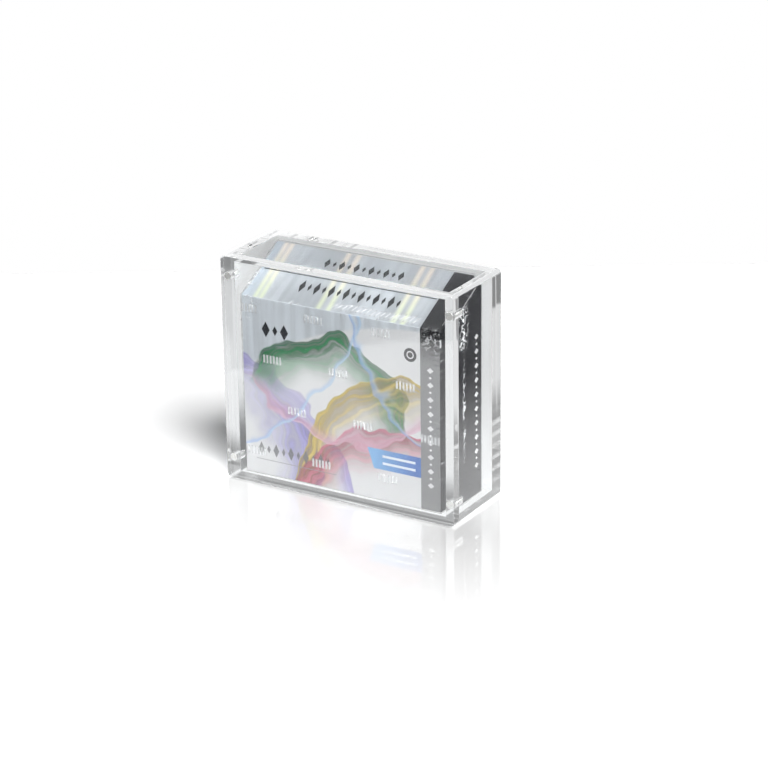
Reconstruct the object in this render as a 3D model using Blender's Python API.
"""Clear acrylic display case with a magnetic lift-off front lid, and the wrapped carton of card packs it holds.

Frame: metres, +X to the right, the lid faces -Y, +Z up. The origin is on the floor, under the middle of the case.
The sizes run from the inside out: the packs set the carton, the carton sets the film, and the film with its
clearances sets the acrylic case round it.
"""

import math

import bmesh
import bpy
from mathutils import Matrix, Vector

MM = 0.001

# Card packs: crimped foil pillows, standing in columns (side by side) and rows (front to back).
PACK_WIDTH = 68.5 * MM
PACK_HEIGHT = 111.0 * MM
PACK_THICKNESS = 5.9 * MM
PACK_CRIMP_HEIGHT = 8.0 * MM
PACK_CRIMP_THICKNESS = 0.8 * MM
PACK_SHOULDER = 11.0 * MM
PACK_SPACE = 0.4 * MM
PACK_COLUMNS = 2
PACK_ROWS = 6
PACK_RING_POINTS = 16
PACK_SHOULDER_STEPS = 3

# Carton: one folded board blank. Its roof rises from the front panel to the back panel.
BOARD = 0.6 * MM
CARTON_HEADROOM = 3.2 * MM
CARTON_ROOF_RISE = 20.0 * MM
CARTON_FOLD_RADIUS = 0.5 * MM
ROOF_SLIT_WIDTH = 0.5 * MM
ROOF_SLIT_MARGIN = 5.0 * MM

# Film shrunk round the carton, with round vent holes in its back.
FILM = 0.15 * MM
FILM_SLACK = 0.3 * MM
VENT_DIAMETER = 3.0 * MM
VENT_SPACING = 60.0 * MM
VENT_HEIGHT = 64.0 * MM

# Acrylic case: thick side walls that hold the magnets, thin top and bottom, and the room left round the film.
SIDE_WALL = 7.6 * MM
TOP_WALL = 4.0 * MM
LID = 6.0 * MM
BACK = 6.0 * MM
ROOM_BESIDE = 3.25 * MM
ROOM_ABOVE = 0.7 * MM
ROOM_IN_FRONT = 1.8 * MM
ROOM_BEHIND = 4.3 * MM
CARTON_SHIFT = -0.8 * MM
CORNER_RADIUS = 2.5 * MM
CORNER_STEPS = 6
EDGE_EASE = 0.4 * MM
SEAM = 0.1 * MM

# Magnets: discs in the lid, rods in the front rims of the side walls, on the same four axes.
MAGNET_DIAMETER = 5.0 * MM
LID_MAGNET_LENGTH = 3.0 * MM
BODY_MAGNET_LENGTH = 6.0 * MM
MAGNET_FROM_EDGE = 13.2 * MM
MAGNET_GLUE = 0.1 * MM
MAGNET_EASE = 0.2 * MM
ROUND_SEGMENTS = 32

# Sizes that follow from the ones above.
CARTON_WIDTH = PACK_COLUMNS * (PACK_WIDTH + PACK_SPACE) + PACK_SPACE + 2 * BOARD
CARTON_DEPTH = PACK_ROWS * (PACK_THICKNESS + PACK_SPACE) + PACK_SPACE + 2 * BOARD
CARTON_FRONT_HEIGHT = PACK_HEIGHT + CARTON_HEADROOM + 2 * BOARD
CARTON_BACK_HEIGHT = CARTON_FRONT_HEIGHT + CARTON_ROOF_RISE
WRAP = FILM + FILM_SLACK
INNER_WIDTH = CARTON_WIDTH + 2 * (WRAP + ROOM_BESIDE)
INNER_DEPTH = CARTON_DEPTH + 2 * WRAP + ROOM_IN_FRONT + ROOM_BEHIND
ROOF_SLOPE = CARTON_ROOF_RISE / CARTON_DEPTH
WRAP_PEAK = WRAP * (ROOF_SLOPE + math.hypot(1.0, ROOF_SLOPE))
INNER_HEIGHT = SEAM + WRAP + CARTON_BACK_HEIGHT + WRAP_PEAK + ROOM_ABOVE
CASE_WIDTH = INNER_WIDTH + 2 * SIDE_WALL
CASE_DEPTH = INNER_DEPTH + LID + BACK
CASE_HEIGHT = INNER_HEIGHT + 2 * TOP_WALL
FRONT_Y = -CASE_DEPTH / 2
BACK_Y = CASE_DEPTH / 2
RIM_Y = FRONT_Y + LID
INNER_BACK_Y = BACK_Y - BACK
CARTON_FRONT_Y = RIM_Y + ROOM_IN_FRONT + WRAP
CARTON_FLOOR_Z = TOP_WALL + SEAM + WRAP
MAGNET_X = CASE_WIDTH / 2 - SIDE_WALL / 2
MAGNET_LEVELS = {"lower": MAGNET_FROM_EDGE, "upper": CASE_HEIGHT - MAGNET_FROM_EDGE}
MAGNET_SIDES = {"left": -MAGNET_X, "right": MAGNET_X}


def clear_scene():
    """Remove every object of the open scene."""
    for scene_object in list(bpy.data.objects):
        bpy.data.objects.remove(scene_object, do_unlink=True)


def finish(name, colour, roughness, metallic=0.0, transmission=0.0):
    """Return a Principled material of one piece's colour, roughness, metal and clearness."""
    material = bpy.data.materials.new(name)
    material.use_nodes = True
    shader = material.node_tree.nodes["Principled BSDF"]
    shader.inputs["Base Color"].default_value = (*colour, 1.0)
    shader.inputs["Roughness"].default_value = roughness
    shader.inputs["Metallic"].default_value = metallic
    shader.inputs["Transmission Weight"].default_value = transmission
    return material


def clear_acrylic(name):
    """Return the finish of a cast acrylic plate."""
    return finish(name, (0.93, 0.96, 0.97), 0.03, transmission=1.0)


def add_object(name, mesh_data, material, parent=None):
    """Close a bmesh into a named object with its own finish, under an optional parent empty."""
    bmesh.ops.recalc_face_normals(mesh_data, faces=mesh_data.faces)
    mesh = bpy.data.meshes.new(name)
    mesh_data.to_mesh(mesh)
    mesh_data.free()
    piece = bpy.data.objects.new(name, mesh)
    bpy.context.scene.collection.objects.link(piece)
    if material is not None:
        mesh.materials.append(material)
    if parent is not None:
        piece.parent = parent
        piece.matrix_parent_inverse = parent.matrix_world.inverted()
    return piece


def add_frame(name, place):
    """Return an empty that carries the pieces of one moving body."""
    empty = bpy.data.objects.new(name, None)
    empty.location = place
    bpy.context.scene.collection.objects.link(empty)
    bpy.context.view_layer.update()
    return empty


def smooth_rounds(piece):
    """Shade the round faces of a piece smooth and keep its corners sharp."""
    piece.data.shade_smooth()
    piece.data.set_sharp_from_angle(angle=math.radians(30))


def cut(piece, name, cutter_mesh):
    """Take a cutter's shape out of a piece with a Boolean modifier."""
    cutter = add_object(name, cutter_mesh, None)
    cutter.hide_render = True
    cutter.display_type = "WIRE"
    difference = piece.modifiers.new(name, "BOOLEAN")
    difference.operation = "DIFFERENCE"
    difference.solver = "EXACT"
    difference.object = cutter


def prism(outline, start, end, to_point):
    """Extrude a closed outline from start to end; to_point(a, b, depth) places its points."""
    mesh_data = bmesh.new()
    base = mesh_data.faces.new([mesh_data.verts.new(to_point(a, b, start)) for a, b in outline])
    grown = bmesh.ops.extrude_face_region(mesh_data, geom=[base])
    top = [item for item in grown["geom"] if isinstance(item, bmesh.types.BMVert)]
    travel = Vector(to_point(0.0, 0.0, end)) - Vector(to_point(0.0, 0.0, start))
    bmesh.ops.translate(mesh_data, verts=top, vec=travel)
    return mesh_data


def plate_prism(outline, y_start, y_end):
    """Extrude an outline of (x, z) points along Y."""
    return prism(outline, y_start, y_end, lambda x, z, y: (x, y, z))


def profile_prism(outline, x_start, x_end):
    """Extrude an outline of (y, z) points along X."""
    return prism(outline, x_start, x_end, lambda y, z, x: (x, y, z))


def rod(radius, y_start, y_end, x, z):
    """Return a round bar along Y."""
    middle = (y_start + y_end) / 2
    place = Matrix.Translation((x, middle, z)) @ Matrix.Rotation(math.radians(90), 4, "X")
    mesh_data = bmesh.new()
    bmesh.ops.create_cone(
        mesh_data, cap_ends=True, segments=ROUND_SEGMENTS, radius1=radius, radius2=radius,
        depth=y_end - y_start, matrix=place,
    )
    return mesh_data


def ease_across(mesh_data, axis, width):
    """Chamfer the edges that lie square to an axis, at both ends of the shape along it."""
    levels = [vertex.co[axis] for vertex in mesh_data.verts]
    ends = (min(levels), max(levels))
    rims = [
        edge for edge in mesh_data.edges
        if any(all(abs(vertex.co[axis] - end) < width / 10 for vertex in edge.verts) for end in ends)
    ]
    bmesh.ops.bevel(mesh_data, geom=rims, offset=width, segments=1, affect="EDGES")


def corner_arc(centre_x, centre_z, start_degrees):
    """Return a quarter-round of the case's corner radius, from an angle, turning anticlockwise."""
    angles = [math.radians(start_degrees + 90 * step / CORNER_STEPS) for step in range(CORNER_STEPS + 1)]
    return [
        (centre_x + CORNER_RADIUS * math.cos(angle), centre_z + CORNER_RADIUS * math.sin(angle))
        for angle in angles
    ]


def case_outline():
    """Return the case's outline from the front: a rectangle with four rounded corners."""
    right = CASE_WIDTH / 2 - CORNER_RADIUS
    low = CORNER_RADIUS
    high = CASE_HEIGHT - CORNER_RADIUS
    return (
        corner_arc(right, high, 0) + corner_arc(-right, high, 90)
        + corner_arc(-right, low, 180) + corner_arc(right, low, 270)
    )


def top_wall_outline():
    """Return the top wall's end view: a strip whose two outer corners are rounded."""
    right = CASE_WIDTH / 2
    under = CASE_HEIGHT - TOP_WALL
    centre = CASE_HEIGHT - CORNER_RADIUS
    upper = corner_arc(right - CORNER_RADIUS, centre, 0) + corner_arc(CORNER_RADIUS - right, centre, 90)
    return upper + [(-right, under), (right, under)]


def bottom_wall_outline():
    """Return the bottom wall's end view, the top wall's turned over."""
    return [(x, CASE_HEIGHT - z) for x, z in reversed(top_wall_outline())]


def offset_outline(outline, distance):
    """Move every side of a convex anticlockwise outline outwards by a distance."""
    moved = []
    count = len(outline)
    for index in range(count):
        before, here, after = (Vector(outline[(index + step) % count]) for step in (-1, 0, 1))
        along_in = (here - before).normalized()
        along_out = (after - here).normalized()
        normal_in = Vector((along_in.y, -along_in.x))
        normal_out = Vector((along_out.y, -along_out.x))
        corner = (normal_in + normal_out) / (1 + normal_in.dot(normal_out))
        moved.append(tuple(here + corner * distance))
    return moved


def carton_profile():
    """Return the carton's side view as (y, z) points: low at the front, high at the back."""
    front = CARTON_FRONT_Y
    back = CARTON_FRONT_Y + CARTON_DEPTH
    floor = CARTON_FLOOR_Z
    return [
        (front, floor), (back, floor),
        (back, floor + CARTON_BACK_HEIGHT), (front, floor + CARTON_FRONT_HEIGHT),
    ]


def carton_prism(distance):
    """Return the carton's block, grown on all sides by a distance."""
    half = CARTON_WIDTH / 2 + distance
    return profile_prism(offset_outline(carton_profile(), distance), CARTON_SHIFT - half, CARTON_SHIFT + half)


def build_plates(lid_frame):
    """Make the two full plates: the bonded back panel and the lift-off lid with its four blind bores."""
    back = plate_prism(case_outline(), INNER_BACK_Y + SEAM, BACK_Y)
    ease_across(back, 1, EDGE_EASE)
    smooth_rounds(add_object("back_panel", back, clear_acrylic("back_acrylic")))

    lid = plate_prism(case_outline(), FRONT_Y, RIM_Y)
    ease_across(lid, 1, EDGE_EASE)
    lid_piece = add_object("front_lid", lid, clear_acrylic("lid_acrylic"), lid_frame)
    for level, z in MAGNET_LEVELS.items():
        for side, x in MAGNET_SIDES.items():
            bore_floor = RIM_Y - LID_MAGNET_LENGTH - 2 * MAGNET_GLUE
            bore = rod(MAGNET_DIAMETER / 2 + MAGNET_GLUE, bore_floor, RIM_Y + LID, x, z)
            cut(lid_piece, f"lid_bore_{level}_{side}", bore)
    smooth_rounds(lid_piece)


def build_walls():
    """Make the four strips between the plates; the side walls stand between the top and the bottom."""
    rim = RIM_Y + SEAM
    for name, outline in (("top_wall", top_wall_outline()), ("bottom_wall", bottom_wall_outline())):
        strip = plate_prism(outline, rim, INNER_BACK_Y)
        smooth_rounds(add_object(name, strip, clear_acrylic(f"{name}_acrylic")))

    low = TOP_WALL + SEAM
    high = CASE_HEIGHT - TOP_WALL - SEAM
    half = SIDE_WALL / 2
    for side, x in MAGNET_SIDES.items():
        outline = [(x - half, low), (x + half, low), (x + half, high), (x - half, high)]
        strip = plate_prism(outline, rim, INNER_BACK_Y)
        wall_piece = add_object(f"{side}_wall", strip, clear_acrylic(f"{side}_wall_acrylic"))
        for level, z in MAGNET_LEVELS.items():
            bore_floor = rim + BODY_MAGNET_LENGTH + 2 * MAGNET_GLUE
            bore = rod(MAGNET_DIAMETER / 2 + MAGNET_GLUE, rim - LID, bore_floor, x, z)
            cut(wall_piece, f"wall_bore_{level}_{side}", bore)
        smooth_rounds(wall_piece)


def build_magnets(lid_frame):
    """Make the four lid discs and the four body rods, flush with the faces that meet."""
    rim = RIM_Y + SEAM
    for level, z in MAGNET_LEVELS.items():
        for side, x in MAGNET_SIDES.items():
            disc = rod(MAGNET_DIAMETER / 2, RIM_Y - MAGNET_GLUE - LID_MAGNET_LENGTH, RIM_Y - MAGNET_GLUE, x, z)
            bar = rod(MAGNET_DIAMETER / 2, rim + MAGNET_GLUE, rim + MAGNET_GLUE + BODY_MAGNET_LENGTH, x, z)
            for kind, shape, parent in (("lid", disc, lid_frame), ("body", bar, None)):
                ease_across(shape, 1, MAGNET_EASE)
                name = f"{kind}_magnet_{level}_{side}"
                nickel = finish(f"{name}_nickel", (0.78, 0.77, 0.75), 0.18, metallic=1.0)
                smooth_rounds(add_object(name, shape, nickel, parent))


def build_carton(carton_frame):
    """Make the folded board carton, hollow, with open slits along both sides of its roof flap."""
    block = carton_prism(0.0)
    bmesh.ops.recalc_face_normals(block, faces=block.faces)
    bmesh.ops.bevel(block, geom=block.edges[:], offset=CARTON_FOLD_RADIUS, segments=2, profile=0.5, affect="EDGES")
    board = finish("carton_board", (0.80, 0.81, 0.83), 0.45)
    carton = add_object("carton", block, board, carton_frame)
    cut(carton, "carton_hollow", carton_prism(-BOARD))

    slope = math.atan(ROOF_SLOPE)
    length = math.hypot(CARTON_ROOF_RISE, CARTON_DEPTH) - 2 * ROOF_SLIT_MARGIN
    middle_y = CARTON_FRONT_Y + CARTON_DEPTH / 2
    middle_z = CARTON_FLOOR_Z + (CARTON_FRONT_HEIGHT + CARTON_BACK_HEIGHT) / 2
    reach = CARTON_WIDTH / 2 - BOARD - ROOF_SLIT_WIDTH / 2
    for side, x in (("left", CARTON_SHIFT - reach), ("right", CARTON_SHIFT + reach)):
        place = Matrix.Translation((x, middle_y, middle_z)) @ Matrix.Rotation(slope, 4, "X")
        slit = bmesh.new()
        bmesh.ops.create_cube(
            slit, size=1.0, matrix=place @ Matrix.Diagonal((ROOF_SLIT_WIDTH, length, 6 * BOARD, 1.0)),
        )
        cut(carton, f"roof_slit_{side}", slit)
    smooth_rounds(carton)


def build_film(carton_frame):
    """Make the shrunk film: a thin skin round the carton, open at two vent holes in its back."""
    film_finish = finish("shrink_film_clear", (0.97, 0.98, 1.0), 0.06, transmission=1.0)
    film = add_object("shrink_film", carton_prism(WRAP), film_finish, carton_frame)
    cut(film, "film_hollow", carton_prism(FILM_SLACK))
    film_back_y = CARTON_FRONT_Y + CARTON_DEPTH + WRAP
    for side, x in (("left", -VENT_SPACING / 2), ("right", VENT_SPACING / 2)):
        vent = rod(VENT_DIAMETER / 2, film_back_y - FILM - FILM_SLACK / 2, film_back_y + WRAP,
                   CARTON_SHIFT + x, CARTON_FLOOR_Z + VENT_HEIGHT)
        cut(film, f"film_vent_{side}", vent)


def pack_ring(mesh_data, thickness, x, y, z):
    """Add one flat oval section of a pack and return its vertices."""
    ring = []
    for index in range(PACK_RING_POINTS):
        turn = 2 * math.pi * (index + 0.5) / PACK_RING_POINTS
        across = math.copysign(math.sqrt(abs(math.cos(turn))), math.cos(turn))
        ring.append(mesh_data.verts.new(
            (x + across * PACK_WIDTH / 2, y + math.sin(turn) * thickness / 2, z)
        ))
    return ring


def pack_sections():
    """Return (height, thickness) pairs up a pack: crimp, swelling shoulder, flat middle and the same back."""
    sections = [(0.0, PACK_CRIMP_THICKNESS), (PACK_CRIMP_HEIGHT, PACK_CRIMP_THICKNESS)]
    for step in range(1, PACK_SHOULDER_STEPS + 1):
        share = step / PACK_SHOULDER_STEPS
        swell = math.sin(share * math.pi / 2)
        thickness = PACK_CRIMP_THICKNESS + (PACK_THICKNESS - PACK_CRIMP_THICKNESS) * swell
        sections.append((PACK_CRIMP_HEIGHT + PACK_SHOULDER * share, thickness))
    return sections + [(PACK_HEIGHT - height, thickness) for height, thickness in reversed(sections)]


def build_packs(carton_frame):
    """Stand the foil packs in the carton, column by column and row by row."""
    pitch_x = PACK_WIDTH + PACK_SPACE
    pitch_y = PACK_THICKNESS + PACK_SPACE
    first_x = CARTON_SHIFT - pitch_x * (PACK_COLUMNS - 1) / 2
    first_y = CARTON_FRONT_Y + BOARD + PACK_SPACE + PACK_THICKNESS / 2
    floor = CARTON_FLOOR_Z + BOARD + PACK_SPACE
    for column in range(PACK_COLUMNS):
        for row in range(PACK_ROWS):
            x = first_x + column * pitch_x
            y = first_y + row * pitch_y
            shape = bmesh.new()
            rings = [pack_ring(shape, thickness, x, y, floor + height) for height, thickness in pack_sections()]
            for lower, upper in zip(rings, rings[1:]):
                for index in range(PACK_RING_POINTS):
                    after = (index + 1) % PACK_RING_POINTS
                    shape.faces.new((lower[index], lower[after], upper[after], upper[index]))
            shape.faces.new(reversed(rings[0]))
            shape.faces.new(rings[-1])
            name = f"card_pack_{column + 1}_{row + 1}"
            foil = finish(f"{name}_foil", (0.72, 0.74, 0.78), 0.28, metallic=0.9)
            smooth_rounds(add_object(name, shape, foil, carton_frame))


def main():
    """Build every piece of the case and its contents."""
    clear_scene()
    lid_frame = add_frame("lid_frame", (0.0, RIM_Y, CASE_HEIGHT / 2))
    carton_frame = add_frame("carton_frame", (CARTON_SHIFT, CARTON_FRONT_Y, CARTON_FLOOR_Z))
    build_plates(lid_frame)
    build_walls()
    build_magnets(lid_frame)
    build_carton(carton_frame)
    build_film(carton_frame)
    build_packs(carton_frame)


main()
